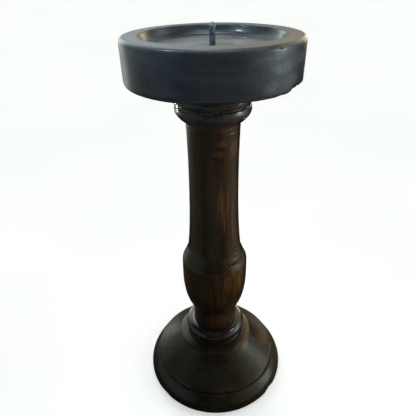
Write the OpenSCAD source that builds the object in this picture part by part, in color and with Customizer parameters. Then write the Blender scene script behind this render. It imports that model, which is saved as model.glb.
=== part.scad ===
// Turned wooden holder for a pillar candle: a base, a pillar with two loose rings, and a dish with a spike.
// Millimetres, +Z up. The origin is the centre of the felt pad's underside, where the holder stands.
// Every turned piece is a profile of [radius, height] points spun about Z.

/* [Felt pad] */
// Diameter of the felt pad under the base
felt_d = 97; // [80:1:99]
// Thickness of the felt pad
felt_t = 1.5; // [1:0.5:3]

/* [Base] */
// Widest diameter of the base, at its bottom moulding
base_d = 107; // [106:1:116]
// Height of the bottom moulding, up to the groove above it
moulding_h = 15.5; // [12:0.5:18]
// Diameter of the cone at its lower edge
cone_d = 93.5; // [84:0.5:95]
// Height of the cone
cone_h = 19.3; // [14:0.1:24]
// Diameter of the ledge at the cone's top
ledge_d = 55; // [50:1:60]
// Rise of the ledge from its edge to the foot ring's seat
ledge_rise = 2.5; // [1:0.5:4]

/* [Foot ring] */
// Outer diameter of the half-round foot ring
foot_ring_d = 45.6; // [42:0.2:48]
// Height of the foot ring
foot_ring_h = 12; // [10:0.5:14]

/* [Column] */
// Diameter of the neck below the bulb
neck_d = 33; // [30:0.5:34]
// Height of the neck
neck_h = 17.6; // [14:0.1:22]
// Largest diameter of the bulb
bulb_d = 46.6; // [44:0.2:50]
// Height of the bulb, from the neck to the ridge
bulb_h = 41.5; // [36:0.5:48]
// Diameter of the ridge above the bulb
ridge_d = 45; // [43:0.5:46]
// Thinnest diameter of the shaft
shaft_d = 31.8; // [28:0.2:32]
// Diameter of the shaft at its top
shaft_top_d = 32.8; // [32:0.2:34]
// Height of the shaft, from the ridge to the capital ring
shaft_h = 100.5; // [80:0.5:130]

/* [Capital ring] */
// Largest diameter of the capital ring, at its ovolo
capital_d = 45.6; // [42:0.2:48]
// Height of the capital ring
capital_h = 17; // [16:0.5:19]
// Diameter of the bead at the top of the capital ring
capital_bead_d = 45; // [43:0.5:46]

/* [Dish] */
// Outer diameter of the dish
dish_d = 99; // [94:1:110]
// Height of the dish, from its underside to the rim
dish_h = 30.2; // [29:0.2:36]
// Diameter of the well at the lip
well_d = 78.6; // [74:0.2:80]
// Depth of the well below the rim
well_depth = 5.6; // [4:0.2:7]
// Width of the cove between the lip and the well's flat floor
cove_w = 4; // [2:0.5:6]

/* [Candle spike] */
// Diameter of the spike
spike_d = 3.4; // [2.6:0.2:4]
// Height of the spike's plain round stretch above the well's floor
spike_plain_h = 8.4; // [6:0.2:16]
// Height of the spike's tip
spike_tip_h = 2.6; // [2:0.2:4]

/* [Joinery] */
// Diameter of the column's two tenons
tenon_d = 19; // [16:0.5:20]
// Depth of the top tenon in the dish
top_tenon_depth = 14; // [10:0.5:15]
// Depth of the bottom tenon in the base
bottom_tenon_depth = 23; // [18:0.5:24]
// Length of the column screw under its head
screw_len = 42; // [38:1:50]
// Diameter over the screw's thread
screw_d = 5; // [4:0.5:6]

/* [Hidden] */
$fn = 96;
eps = 0.01;

// Heights of the joints between the pieces, from the table up
base_z = felt_t;
groove_z = base_z + moulding_h;
cone_z = groove_z + 1.4;
ledge_z = cone_z + cone_h;
foot_ring_z = ledge_z + ledge_rise;
column_z = foot_ring_z + foot_ring_h;
bulb_z = column_z + neck_h;
ridge_z = bulb_z + bulb_h;
capital_z = ridge_z + shaft_h;
dish_z = capital_z + capital_h;
rim_z = dish_z + dish_h;
floor_z = rim_z - well_depth;

// Radii that several pieces share
base_r = base_d / 2;
cone_r = cone_d / 2;
neck_r = neck_d / 2;
bulb_r = bulb_d / 2;
ridge_r = ridge_d / 2;
shaft_r = shaft_d / 2;
capital_r = capital_d / 2;
dish_r = dish_d / 2;
well_r = well_d / 2;
tenon_r = tenon_d / 2;
spike_r = spike_d / 2;
screw_r = screw_d / 2;

// Fixing hardware
nail_head_d = 8;
nail_head_h = 1.5;
nail_ring_count = 4;
nail_ring_pitch = 1.6;
nail_ring_depth = 0.3;
washer_d = 16;
washer_t = 1.5;
head_d = 9.4;
head_h = 3.4;
counterbore_d = 18;
counterbore_depth = 8;
thread_pitch = 2.2;
thread_depth = 0.7;
thread_start = 7;
screw_point_h = 6;
tenon_chamfer = 1;
screw_z = base_z + counterbore_depth - washer_t;

// Points on an arc of an ellipse about centre, from one angle to another
function arc_points(centre, rx, rz, from, to, steps) = [
    for (i = [0:steps])
        let (a = from + (to - from) * i / steps)
        centre + [rx * cos(a), rz * sin(a)]
];

// Points on a cubic curve through its two ends, pulled towards the two controls
function curve_points(start, control_a, control_b, end, steps) = [
    for (i = [0:steps])
        let (t = i / steps, u = 1 - t)
        u * u * u * start + 3 * u * u * t * control_a + 3 * u * t * t * control_b + t * t * t * end
];

// Spins a profile of [radius, height] points about Z
module turned(profile) {
    rotate_extrude() polygon(profile);
}

// Round tenon from z = 0 down or up, chamfered at its free end
module tenon(length) {
    turned([
        [0, 0],
        [tenon_r, 0],
        [tenon_r, length - tenon_chamfer],
        [tenon_r - tenon_chamfer, length],
        [0, length]
    ]);
}

// Steel nail: trapped head below the dish's floor, ringed shank in the wood, plain spike above, blunt tip
module candle_spike() {
    head_z = dish_z + top_tenon_depth;
    shank_z = head_z + nail_head_h;
    ring_h = nail_ring_count * nail_ring_pitch;
    tip_z = floor_z + spike_plain_h;
    ring_points = [
        for (i = [0:nail_ring_count - 1])
            let (z = floor_z - ring_h + i * nail_ring_pitch)
            each [[spike_r, z], [spike_r - nail_ring_depth, z + nail_ring_pitch / 2]]
    ];
    color("dimgray") turned(concat(
        [
            [0, head_z],
            [nail_head_d / 2, head_z],
            [nail_head_d / 2, shank_z],
            [spike_r, shank_z]
        ],
        ring_points,
        [[spike_r, floor_z]],
        arc_points([0, tip_z], spike_r, spike_tip_h, 0, 90, 8)
    ));
}

// Turned dish: coved well, flat rim, rounded outer edge, straight side, gently sloping underside
module candle_dish() {
    edge_r = 2.6;
    edge_drop = 2.3;
    side_top_z = rim_z - edge_drop;
    side_bottom_z = dish_z + 6.8;
    seat_r = capital_bead_d / 2 + 1.5;
    floor_r = well_r - cove_w;
    color("#33373a") difference() {
        turned(concat(
            [
                [0, dish_z],
                [seat_r, dish_z]
            ],
            curve_points(
                [dish_r - 2.8, side_bottom_z - 1.2],
                [dish_r - 1.3, side_bottom_z - 0.9],
                [dish_r - 0.3, side_bottom_z + 0.2],
                [dish_r - 0.2, side_bottom_z + 1.8],
                6
            ),
            arc_points([dish_r - edge_r, side_top_z], edge_r, edge_drop, 0, 90, 8),
            [[well_r, rim_z]],
            curve_points(
                [well_r - 0.3, rim_z - 0.3],
                [well_r - 1.4, rim_z - well_depth * 0.8],
                [floor_r + 1.6, floor_z],
                [floor_r, floor_z],
                8
            ),
            [[0, floor_z]]
        ));
        translate([0, 0, dish_z - eps]) cylinder(r = tenon_r, h = top_tenon_depth + eps);
        translate([0, 0, dish_z + top_tenon_depth - eps]) cylinder(d = nail_head_d, h = nail_head_h + eps);
        translate([0, 0, dish_z + top_tenon_depth]) cylinder(r = spike_r, h = well_depth + dish_h);
    }
}

// Ring under the dish: ovolo, deep groove, bead
module capital_ring() {
    ring_groove_z = capital_z + 10.6;
    ring_groove_r = capital_r - 2.4;
    bead_r = capital_bead_d / 2;
    color("#3a3129") difference() {
        turned(concat(
            [
                [0, capital_z],
                [shaft_top_d / 2 + 0.8, capital_z]
            ],
            curve_points(
                [shaft_top_d / 2 + 1, capital_z + 0.3],
                [capital_r - 4.2, capital_z + 1.4],
                [capital_r - 0.5, capital_z + 3.6],
                [capital_r, capital_z + 7.4],
                8
            ),
            arc_points([capital_r - 2.2, capital_z + 7.4], 2.2, 2.6, 15, 90, 5),
            [[ring_groove_r, ring_groove_z]],
            arc_points([bead_r - 2, ring_groove_z + 3], 2, 2.3, -65, 60, 8),
            [
                [bead_r - 1.1, dish_z],
                [0, dish_z]
            ]
        ));
        translate([0, 0, capital_z - eps]) cylinder(r = tenon_r, h = capital_h + 2 * eps);
    }
}

// Turned pillar between the two rings: neck, bulb, ridge, V-groove, shoulder and waisted shaft
module column() {
    waist_z = ridge_z + shaft_h * 0.7;
    shoulder_z = ridge_z + 10;
    color("#3b2e22") difference() {
        union() {
            turned(concat(
                [[0, column_z]],
                curve_points(
                    [neck_r, column_z],
                    [neck_r - 0.3, column_z + neck_h * 0.3],
                    [neck_r - 0.3, column_z + neck_h * 0.7],
                    [neck_r, bulb_z - 0.6],
                    4
                ),
                // bulb, from its foot to the ridge
                [[neck_r + 1, bulb_z]],
                curve_points(
                    [neck_r + 1.4, bulb_z + 0.4],
                    [neck_r + 4.4, bulb_z + 4.6],
                    [bulb_r, bulb_z + 14],
                    [bulb_r, bulb_z + 28],
                    12
                ),
                [
                    [bulb_r - 0.2, ridge_z - 5],
                    [ridge_r, ridge_z]
                ],
                // band above the ridge, V-groove, shoulder
                [
                    [ridge_r - 0.6, ridge_z + 2],
                    [ridge_r - 1.5, ridge_z + 3.9],
                    [ridge_r - 2.2, ridge_z + 4.3],
                    [ridge_r - 1.9, ridge_z + 5]
                ],
                curve_points(
                    [ridge_r - 2.2, ridge_z + 5.8],
                    [ridge_r - 2.9, ridge_z + 7.4],
                    [ridge_r - 3.5, ridge_z + 8.6],
                    [ridge_r - 3.8, shoulder_z],
                    4
                ),
                // shaft, flaring down to the shoulder and up to the capital ring
                curve_points(
                    [ridge_r - 4, shoulder_z + 0.8],
                    [shaft_r + 0.8, shoulder_z + shaft_h * 0.14],
                    [shaft_r, ridge_z + shaft_h * 0.48],
                    [shaft_r, waist_z],
                    14
                ),
                curve_points(
                    [shaft_r, waist_z + 1],
                    [shaft_r, waist_z + shaft_h * 0.1],
                    [shaft_top_d / 2 - 0.2, capital_z - 8],
                    [shaft_top_d / 2 - 0.1, capital_z - 4.2],
                    6
                ),
                // fine turned line just below the capital ring
                [
                    [shaft_top_d / 2 - 0.5, capital_z - 3.9],
                    [shaft_top_d / 2, capital_z - 3.5],
                    [shaft_top_d / 2, capital_z],
                    [0, capital_z]
                ]
            ));
            translate([0, 0, capital_z]) tenon(capital_h + top_tenon_depth);
            translate([0, 0, column_z]) mirror([0, 0, 1]) tenon(foot_ring_h + bottom_tenon_depth);
        }
        screw_hole();
    }
}

// Half-round ring at the foot of the neck
module foot_ring() {
    section_r = foot_ring_h / 2;
    color("#40261b") difference() {
        rotate_extrude() {
            translate([foot_ring_d / 2 - section_r, foot_ring_z + section_r]) circle(r = section_r);
            translate([0, foot_ring_z]) square([foot_ring_d / 2 - section_r, foot_ring_h]);
        }
        translate([0, 0, foot_ring_z - eps]) cylinder(r = tenon_r, h = foot_ring_h + 2 * eps);
    }
}

// Turned base: bottom moulding, groove, hollow-sided cone, ledge and the foot ring's seat
module base() {
    foot_round_r = 2.4;
    seat_r = foot_ring_d / 2 - 2.6;
    mortise_z = foot_ring_z - bottom_tenon_depth;
    color("#37352c") difference() {
        turned(concat(
            [
                [0, base_z],
                [base_r - foot_round_r, base_z]
            ],
            arc_points([base_r - foot_round_r, base_z + 3], foot_round_r, 3, -60, 0, 4),
            curve_points(
                [base_r - 0.2, base_z + 4.6],
                [base_r - 0.8, base_z + 8],
                [cone_r + 2.2, groove_z - 3],
                [cone_r - 0.6, groove_z],
                8
            ),
            // groove between the moulding and the cone
            [
                [cone_r - 1.7, groove_z + 0.2],
                [cone_r - 1.7, groove_z + 0.7],
                [cone_r, cone_z]
            ],
            curve_points(
                [cone_r, cone_z + 0.5],
                [cone_r - 7, cone_z + cone_h * 0.33],
                [ledge_d / 2 + 5.6, cone_z + cone_h * 0.62],
                [ledge_d / 2 + 0.2, ledge_z - 0.5],
                10
            ),
            // ledge, and the undercut round the foot ring's seat
            [
                [ledge_d / 2 - 0.5, ledge_z],
                [seat_r + 1.6, foot_ring_z - 0.6],
                [seat_r + 0.6, foot_ring_z - 0.9],
                [seat_r, foot_ring_z],
                [0, foot_ring_z]
            ]
        ));
        translate([0, 0, mortise_z]) cylinder(r = tenon_r, h = bottom_tenon_depth + eps);
        translate([0, 0, base_z - eps]) cylinder(d = counterbore_d, h = counterbore_depth + eps);
        translate([0, 0, base_z]) cylinder(r = screw_r, h = mortise_z - base_z + eps);
    }
}

// The wood that the column screw takes away: its shank, and the cone of its point
module screw_hole() {
    point_z = screw_z + washer_t + screw_len - screw_point_h;
    translate([0, 0, base_z]) cylinder(r = screw_r, h = point_z - base_z);
    translate([0, 0, point_z - eps]) cylinder(r1 = screw_r, r2 = 0, h = screw_point_h + eps);
}

// Pan-head wood screw: cross slot, plain shank, ridged thread, point
module column_screw() {
    seat_z = screw_z;
    point_z = seat_z + washer_t + screw_len - screw_point_h;
    ridges_z = seat_z + washer_t + thread_start;
    ridge_count = floor((point_z - ridges_z) / thread_pitch);
    thread_points = [
        for (i = [0:ridge_count - 1])
            let (z = ridges_z + i * thread_pitch)
            each [[screw_r - thread_depth, z + thread_pitch * 0.2], [screw_r, z + thread_pitch * 0.6]]
    ];
    slot_len = head_d * 0.55;
    slot_w = 1.3;
    slot_depth = 1.8;
    color("silver") difference() {
        turned(concat(
            [[0, seat_z - head_h]],
            arc_points([head_d / 2 - 1.8, seat_z - head_h + 1.8], 1.8, 1.8, -90, 0, 5),
            [
                [head_d / 2, seat_z],
                [screw_r, seat_z],
                [screw_r, ridges_z]
            ],
            thread_points,
            [
                [screw_r - thread_depth, point_z],
                [0, point_z + screw_point_h - 1]
            ]
        ));
        for (turn = [0, 90]) {
            rotate(turn)
                translate([-slot_len / 2, -slot_w / 2, seat_z - head_h - eps])
                cube([slot_len, slot_w, slot_depth + eps]);
        }
    }
}

// Flat steel washer at the end of the counterbore
module screw_washer() {
    color("lightgray") translate([0, 0, screw_z]) difference() {
        cylinder(d = washer_d, h = washer_t);
        translate([0, 0, -eps]) cylinder(r = screw_r, h = washer_t + 2 * eps);
    }
}

// Felt disc that the holder stands on
module felt_pad() {
    color("#2c3b30") cylinder(d = felt_d, h = felt_t);
}

candle_spike();
candle_dish();
capital_ring();
column();
foot_ring();
base();
column_screw();
screw_washer();
felt_pad();
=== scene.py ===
"""Looks of a turned, dark-stained pillar candle holder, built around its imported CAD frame.

Outlines are in millimetres, as [radius, height] or [radius, height, corner radius], and go from the top,
over the outside, to the bottom. A bearing is an angle about +Z in degrees: 0 is the front (-Y) and 90 is
the right (+X).
"""
import itertools
import math
from types import SimpleNamespace

import bpy
import numpy as np
from mathutils import Matrix, Vector


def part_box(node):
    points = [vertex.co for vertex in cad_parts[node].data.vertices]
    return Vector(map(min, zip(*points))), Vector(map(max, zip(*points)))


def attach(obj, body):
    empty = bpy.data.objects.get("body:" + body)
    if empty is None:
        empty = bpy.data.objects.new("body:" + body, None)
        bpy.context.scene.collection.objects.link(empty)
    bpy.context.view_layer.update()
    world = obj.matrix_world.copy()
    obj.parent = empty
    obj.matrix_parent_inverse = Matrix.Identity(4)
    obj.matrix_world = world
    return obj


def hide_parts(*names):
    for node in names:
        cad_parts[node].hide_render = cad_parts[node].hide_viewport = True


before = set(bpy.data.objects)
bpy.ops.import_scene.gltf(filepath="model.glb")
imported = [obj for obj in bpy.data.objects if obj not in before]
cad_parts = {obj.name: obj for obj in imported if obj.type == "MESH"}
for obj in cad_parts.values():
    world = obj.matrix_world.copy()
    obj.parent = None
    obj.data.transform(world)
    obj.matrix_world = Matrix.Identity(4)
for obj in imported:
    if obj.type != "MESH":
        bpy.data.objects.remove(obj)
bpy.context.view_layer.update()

MM = 0.001
TINY = 1e-6

# Heights and radii that the frame gives, in millimetres
HEIGHTS = {name: (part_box(name)[0].z / MM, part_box(name)[1].z / MM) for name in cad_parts}
RADII = {name: (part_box(name)[1].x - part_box(name)[0].x) / 2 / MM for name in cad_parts}
BASE_Z, FOOT_Z = HEIGHTS["base"]
COLUMN_Z = HEIGHTS["foot_ring"][1]
CAPITAL_Z, DISH_Z = HEIGHTS["capital_ring"]
RIM_Z = HEIGHTS["candle_dish"][1]
TENON_BOTTOM_Z, TENON_TOP_Z = HEIGHTS["column"]
BASE_R = RADII["base"]
DISH_R = RADII["candle_dish"]
BULB_R = RADII["column"]
CAPITAL_R = RADII["capital_ring"]
FOOT_R = RADII["foot_ring"]
HEAD_R = RADII["candle_spike"]
SCREW_TOP_Z = HEIGHTS["column_screw"][1]

# Sizes inside the pieces, as the CAD model has them
TENON_R = 9.5
SPIKE_R = 1.7
SCREW_R = 2.5
SCREW_POINT_H = 6
COUNTERBORE_R = 9
COUNTERBORE_H = 8
NAIL_HEAD_H = 1.5
WELL_R = 39.3
FLOOR_R = 35.3
FLOOR_Z = RIM_Z - 5.6
NECK_R = 16.5
SHAFT_R = 15.9
SHAFT_TOP_R = 16.4
RIDGE_R = 22.5
BULB_Z = COLUMN_Z + 17.6
RIDGE_Z = BULB_Z + 41.5
CONE_R = 46.75
GROOVE_Z = BASE_Z + 15.5
CONE_Z = GROOVE_Z + 1.4
BEAD_R = 22.5
CAPITAL_GROOVE_Z = CAPITAL_Z + 10.6
LEDGE_R = 27.5
LEDGE_Z = FOOT_Z - 2.5


# ---------------------------------------------------------------- outlines

def curve(start, pull_a, pull_b, end, steps=14):
    """Points on a cubic curve through its two ends, pulled towards the two controls."""
    t = np.linspace(0, 1, steps + 1)[:, None]
    start, pull_a, pull_b, end = map(np.array, (start, pull_a, pull_b, end))
    line = (1 - t) ** 3 * start + 3 * (1 - t) ** 2 * t * pull_a + 3 * (1 - t) * t**2 * pull_b + t**3 * end
    return line.tolist()


def arc(centre, radius, first, last, steps):
    """Points on an arc about centre, from one angle to another in degrees; 0 is outwards and 90 is up."""
    angles = np.radians(np.linspace(first, last, steps + 1))
    return [[centre[0] + radius * math.cos(a), centre[1] + radius * math.sin(a)] for a in angles]


# A rounded corner's points, and the share of the sides beside it that it may take
CORNER_STEPS = 5
CORNER_SHARE = 0.45


def rounded(points):
    """The outline with each [radius, height, corner radius] point turned into a small curve."""
    line = []
    for i, point in enumerate(points):
        here = np.array(point[:2], float)
        if len(point) < 3 or i in (0, len(points) - 1):
            line.append(here)
            continue
        before = np.array(points[i - 1][:2], float) - here
        after = np.array(points[i + 1][:2], float) - here
        sides = np.linalg.norm(before), np.linalg.norm(after)
        reach = min(point[2], CORNER_SHARE * sides[0], CORNER_SHARE * sides[1])
        a = here + before / sides[0] * reach
        b = here + after / sides[1] * reach
        for t in np.linspace(0, 1, CORNER_STEPS + 1):
            line.append((1 - t) ** 2 * a + 2 * t * (1 - t) * here + t**2 * b)
    return np.array(line)


def spaced(line, step):
    """The line with points added so that none are further apart than step."""
    parts = [line[:1]]
    for a, b in zip(line[:-1], line[1:]):
        count = max(1, math.ceil(np.linalg.norm(b - a) / step))
        parts.append(a + (b - a) * np.arange(1, count + 1)[:, None] / count)
    return np.concatenate(parts)


# ---------------------------------------------------------------- noise

# Large odd numbers that scramble a cell's place into its gradient, and the gain that brings noise near 1
HASH_AXES = (374761393, 668265263, 2147483647)
HASH_SEED = 974634777
HASH_MIX = 1274126177
NOISE_GAIN = 1.4


def noise(points, seed):
    """Smooth gradient noise from about -1 to 1 at points, an array of [..., 3]."""
    cell = np.floor(points).astype(np.int64)
    part = points - cell
    fade = part**3 * (part * (part * 6 - 15) + 10)
    total = 0.0
    for corner in itertools.product((0, 1), repeat=3):
        mixed = ((cell + np.array(corner)) * np.array(HASH_AXES)).sum(-1) + seed * HASH_SEED
        mixed = (mixed ^ (mixed >> 13)) * HASH_MIX
        mixed = mixed ^ (mixed >> 16)
        away = part - np.array(corner)
        gradient = np.stack([(mixed >> shift & 255) / 127.5 - 1 for shift in (0, 8, 16)], -1)
        weight = np.prod(np.where(np.array(corner), fade, 1 - fade), axis=-1)
        total = total + weight * (gradient * away).sum(-1)
    return total * NOISE_GAIN


def layered(points, layers, seed):
    """Noise with finer layers on top, each half as strong."""
    return sum(noise(points * 2**i, seed + i) / 2**i for i in range(layers))


def smooth(x):
    """0 below 0, 1 above 1, and an even curve between."""
    x = np.clip(x, 0, 1)
    return x * x * (3 - 2 * x)


# ---------------------------------------------------------------- turned pieces

# The span that a bend is averaged over and the fade at an outline's ends, in millimetres, and how much of an
# edge or corner a bend makes
BEND_SPAN = 0.7
END_FADE = 0.8
EDGE_GAIN = 1.1
# How ragged a mark's outline is, how far out it may reach in half sizes, and how steeply each effect starts
RAGGED = 0.35
RAGGED_SIZE = 1.7
RAGGED_SEED = 40
MARK_REACH = 1.6
DENT_STEEP = 1.6
BARE_STEEP = 2.2
STAIN_STEEP = 1.8


def mark(place, size, depth=0.0, bare_and_sheen=0.0, thin_and_sheen=0.0, turn=0.0):
    """A dent, chip or patch. place is its bearing, radius and height, and size its half sizes round the
    piece and along the outline. depth is in millimetres, bare_and_sheen is how much raw wood shows, and
    thin_and_sheen how thinly the stain is laid; at a few marks these two are painted highlights and
    reflections instead. A depth below 0 fills a groove instead."""
    return dict(bearing=place[0], at=place[1:], around=size[0], along=size[1], depth=depth, bare_and_sheen=bare_and_sheen,
                thin_and_sheen=thin_and_sheen, turn=math.radians(turn))


def bending(line, along):
    """How sharply the outline turns at each of its points: above 0 on an edge and below 0 in a corner."""
    run = np.gradient(line, axis=0)
    length = np.linalg.norm(run, axis=1)
    heading = np.unwrap(np.arctan2(run[:, 1], run[:, 0]))
    bend = -np.gradient(heading) / np.maximum(length, TINY)
    near = np.exp(-(((along[:, None] - along[None, :]) / BEND_SPAN) ** 2)) * length[None, :]
    return (near @ bend) / near.sum(1)


def marked(offset, grid, line, marks):
    """The offset with the marks cut into it, and how far each point shows raw wood, lies under thinly laid
    stain, is cut or is filled; at a few marks the first two are painted highlights and reflections.
    """
    bare_and_sheen, thin_and_sheen, cut, filled = (np.zeros_like(offset) for _ in range(4))
    ragged = RAGGED * layered(grid["where"] / RAGGED_SIZE, 3, RAGGED_SEED)
    for m in marks:
        nearest = np.argmin(((line - np.array(m["at"])) ** 2).sum(1))
        u = np.radians((grid["bearing"] - m["bearing"] + 180) % 360 - 180) * max(m["at"][0], 1)
        v = grid["along"] - grid["along"][nearest]
        c, s = math.cos(m["turn"]), math.sin(m["turn"])
        far = np.hypot((u * c + v * s) / m["around"], (v * c - u * s) / m["along"])
        inside = np.where(far < MARK_REACH, 1 - far + ragged, 0)
        stained = smooth(inside * STAIN_STEEP)
        narrow = m["along"] < 1
        offset = offset - m["depth"] * smooth(inside * DENT_STEEP)
        bare_and_sheen = np.maximum(bare_and_sheen, m["bare_and_sheen"] * smooth(inside * BARE_STEEP))
        thin_and_sheen = np.maximum(thin_and_sheen, m["thin_and_sheen"] * stained)
        cut = np.maximum(cut, stained * min(max(m["depth"], 0), 1) * narrow)
        filled = np.maximum(filled, stained * (m["depth"] < 0))
    return offset, bare_and_sheen, thin_and_sheen, cut, filled


def spin(name, shown, hidden, relief, marks=(), before=(), *, step, segments):
    """A solid of revolution. The shown outline, with points no further apart than step, carries the relief
    and the marks, and hidden and before close it. The mesh keeps how far each point is on an edge (arris),
    in a corner or a narrow cut (crease, which the woods darken as painted shade), rubbed to the wood
    (bare_and_sheen) and under thinly laid stain (thin_and_sheen); at a few marks these last two are painted
    highlights and reflections instead. A filled corner is no crease."""
    front = rounded(before) if len(before) else np.zeros((0, 2))
    line = spaced(rounded(shown), step)
    outline = np.concatenate([front, line, rounded(hidden)])
    first, last = len(front), len(front) + len(line)

    along = np.concatenate([[0], np.cumsum(np.linalg.norm(np.diff(line, axis=0), axis=1))])
    bend = bending(line, along)[:, None]
    run = np.gradient(line, axis=0)
    outwards = np.stack([-run[:, 1], run[:, 0]], 1) / np.maximum(np.linalg.norm(run, axis=1), TINY)[:, None]
    bearing = np.arange(segments) * 360 / segments
    turn = np.radians(bearing)[None, :]
    r, z = line[:, :1], line[:, 1:]
    where = np.stack([r * np.sin(turn), -r * np.cos(turn), z + 0 * turn], -1)
    grid = dict(bearing=bearing[None, :], z=z, along=along[:, None], where=where, bend=bend)

    offset, bare_and_sheen, thin_and_sheen, cut, filled = marked(relief(grid), grid, line, marks)
    offset = offset * smooth(np.minimum(along, along[-1] - along) / END_FADE)[:, None]
    rows = np.repeat(outline[:, None, :], segments, 1)
    rows[first:last] += offset[..., None] * outwards[:, None, :]
    rows[..., 0] = np.minimum(rows[..., 0], outline[:, 0].max())
    rows[..., 1] = np.clip(rows[..., 1], outline[:, 1].min(), outline[:, 1].max())

    kept = {
        "arris": smooth(bend * EDGE_GAIN) + 0 * offset,
        "crease": np.maximum(smooth(-bend * EDGE_GAIN), cut) * (1 - filled),
        "bare_and_sheen": bare_and_sheen,
        "thin_and_sheen": thin_and_sheen,
    }
    for label, values in kept.items():
        kept[label] = np.zeros(rows.shape[:2])
        kept[label][first:last] = values
    return solid(name, rows, turn, kept, closed=outline[0, 0] > TINY)


def solid(name, rows, turn, kept, closed):
    """A mesh from rows of [radius, height] round the axis, with its numbers per point. A row at radius 0
    becomes one point, and a closed outline joins its last row to its first."""
    count, segments = rows.shape[:2]
    x = rows[..., 0] * np.sin(turn)
    y = -rows[..., 0] * np.cos(turn)
    points = np.stack([x, y, rows[..., 1]], -1) * MM
    poles = [i for i in range(count) if rows[i, 0, 0] < TINY]
    index = np.arange(count * segments).reshape(count, segments)
    quads, fans = [], []
    pairs = list(zip(range(count - 1), range(1, count)))
    if closed:
        pairs.append((count - 1, 0))
    for i, k in pairs:
        a, b = index[i], index[k]
        c, d = np.roll(index[k], -1), np.roll(index[i], -1)
        if i in poles:
            fans.append(np.stack([np.full(segments, index[i, 0]), b, c], 1))
        elif k in poles:
            fans.append(np.stack([a, np.full(segments, index[k, 0]), d], 1))
        else:
            quads.append(np.stack([a, b, c, d], 1))
    used = np.ones(count * segments, bool)
    for i in poles:
        used[index[i, 1:]] = False
    new = np.cumsum(used) - 1
    faces = [face for block in quads + fans for face in new[block].tolist()]
    mesh = bpy.data.meshes.new(name)
    mesh.from_pydata(points.reshape(-1, 3)[used].tolist(), [], faces)
    mesh.polygons.foreach_set("use_smooth", np.ones(len(mesh.polygons), bool))
    mesh.update()
    for label, values in kept.items():
        numbers = mesh.attributes.new(label, "FLOAT", "POINT")
        numbers.data.foreach_set("value", values.reshape(-1)[used].astype(np.float32))
    piece = bpy.data.objects.new(name, mesh)
    bpy.context.scene.collection.objects.link(piece)
    return piece


# Sizes of the turned relief, in millimetres, and how fast it changes round the piece
TOOL_PITCH = 0.9
TOOL_TURNS = 0.8
OVAL_TURNS = 0.9
OVAL_H = 50
OVAL_DROP = 0.6
RUB_PATCH = 9
RUB_GAIN = 1.2


def turned_relief(rings, oval, grain, wear, seed, grain_size=(0.7, 0.7, 14)):
    """Tool rings, a slightly oval shape, raised grain and rubbed edges, as an offset along the surface's
    normal. rings, oval, grain and wear are their strengths in millimetres."""
    def relief(p):
        lines = p["along"] / TOOL_PITCH + 0 * p["bearing"]
        slow = np.radians(p["bearing"]) + 0 * p["along"]
        side, front = np.sin(slow), np.cos(slow)
        tool = noise(np.stack([lines, front * TOOL_TURNS, side * TOOL_TURNS], -1), seed)
        lean = np.stack([front * OVAL_TURNS, side * OVAL_TURNS, p["z"] / OVAL_H + 0 * slow], -1)
        fibre = layered(p["where"] / np.array(grain_size), 2, seed + 13)
        rub = smooth(p["bend"] * RUB_GAIN) * smooth(0.5 + layered(p["where"] / RUB_PATCH, 3, seed + 21))
        return rings * tool + oval * (noise(lean, seed + 7) - OVAL_DROP) + grain * fibre - wear * rub
    return relief


# ---------------------------------------------------------------- shader helpers

def new_material(name):
    """An empty node material, its tree and its Principled shader."""
    material = bpy.data.materials.new(name)
    material.use_nodes = True
    tree = material.node_tree
    tree.nodes.clear()
    output = tree.nodes.new("ShaderNodeOutputMaterial")
    shader = tree.nodes.new("ShaderNodeBsdfPrincipled")
    tree.links.new(shader.outputs["BSDF"], output.inputs["Surface"])
    return material, tree, shader


def add(tree, kind, inputs=(), **settings):
    """A node with its settings and its inputs, each a value or another node's output."""
    node = tree.nodes.new("ShaderNode" + kind)
    for key, value in settings.items():
        setattr(node, key, value)
    for key, value in dict(inputs).items():
        if isinstance(value, bpy.types.NodeSocket):
            tree.links.new(value, node.inputs[key])
        else:
            node.inputs[key].default_value = value
    return node


def maths(tree, operation, a, b=0.0, clamp=False):
    """The output of a Math node."""
    return add(tree, "Math", {0: a, 1: b}, operation=operation, use_clamp=clamp).outputs[0]


def plus(tree, a, b):
    return maths(tree, "ADD", a, b)


def times(tree, a, b):
    return maths(tree, "MULTIPLY", a, b)


def highest(tree, a, b):
    return maths(tree, "MAXIMUM", a, b)


def ranged(tree, value, low, high, to_low=0.0, to_high=1.0):
    """A value stretched from one range to another, and held within it."""
    inputs = {"Value": value, "From Min": low, "From Max": high, "To Min": to_low, "To Max": to_high}
    return add(tree, "MapRange", inputs).outputs["Result"]


def blended(tree, share, a, b, blend="MIX"):
    """The colour between a and b."""
    node = add(tree, "Mix", {"Factor": share}, data_type="RGBA", blend_type=blend)
    for socket, value in ((node.inputs[6], a), (node.inputs[7], b)):
        if isinstance(value, bpy.types.NodeSocket):
            tree.links.new(value, socket)
        else:
            socket.default_value = (*value, 1)
    return node.outputs[2]


def field(tree, place, scale, detail, roughness, distortion=0.0):
    """Cloudy noise from 0 to 1."""
    inputs = {"Vector": place, "Scale": scale, "Detail": detail, "Roughness": roughness}
    return add(tree, "TexNoise", inputs | {"Distortion": distortion}).outputs["Fac"]


def stretched(tree, place, scale, shift):
    """The place scaled along each axis, so that noise turns into streaks."""
    return add(tree, "Mapping", {"Vector": place, "Location": shift, "Scale": scale}).outputs["Vector"]


def attribute(tree, name):
    """One of the numbers that the mesh keeps."""
    return add(tree, "Attribute", attribute_name=name).outputs["Fac"]


def object_place(tree):
    """The place of each point on the object, in metres."""
    return add(tree, "TexCoord").outputs["Object"]


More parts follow.
